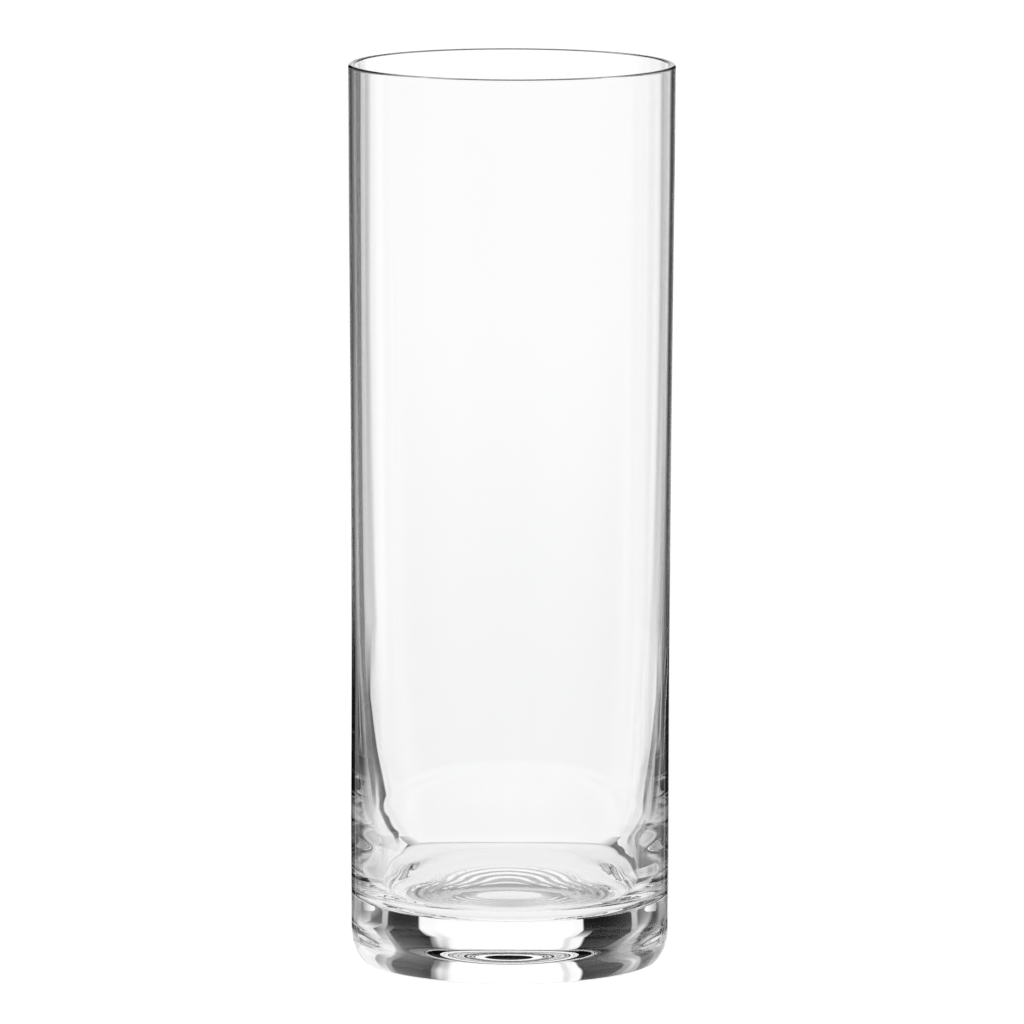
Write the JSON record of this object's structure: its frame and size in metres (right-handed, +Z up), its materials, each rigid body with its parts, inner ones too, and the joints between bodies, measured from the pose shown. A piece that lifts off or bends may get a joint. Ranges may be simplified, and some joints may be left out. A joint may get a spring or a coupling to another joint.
{
  "type": "tumbler",
  "caption": "Tall straight-sided clear glass tumbler with a thin rounded lip, a wall that thickens downwards and a heavy solid base.",
  "frame": {"origin": "centre of the footprint, on the plane the glass stands on", "axes": "+Z up along the axis of the glass, from the foot to the lip; X and Y are alike, because the glass is round"},
  "size_m": [0.06, 0.06, 0.166],
  "materials": {
    "clear_glass": "fire-polished, perfectly smooth, colourless and clear"
  },
  "bodies": {
    "root": {"glass_body": "clear_glass"}
  },
  "joints": []
}
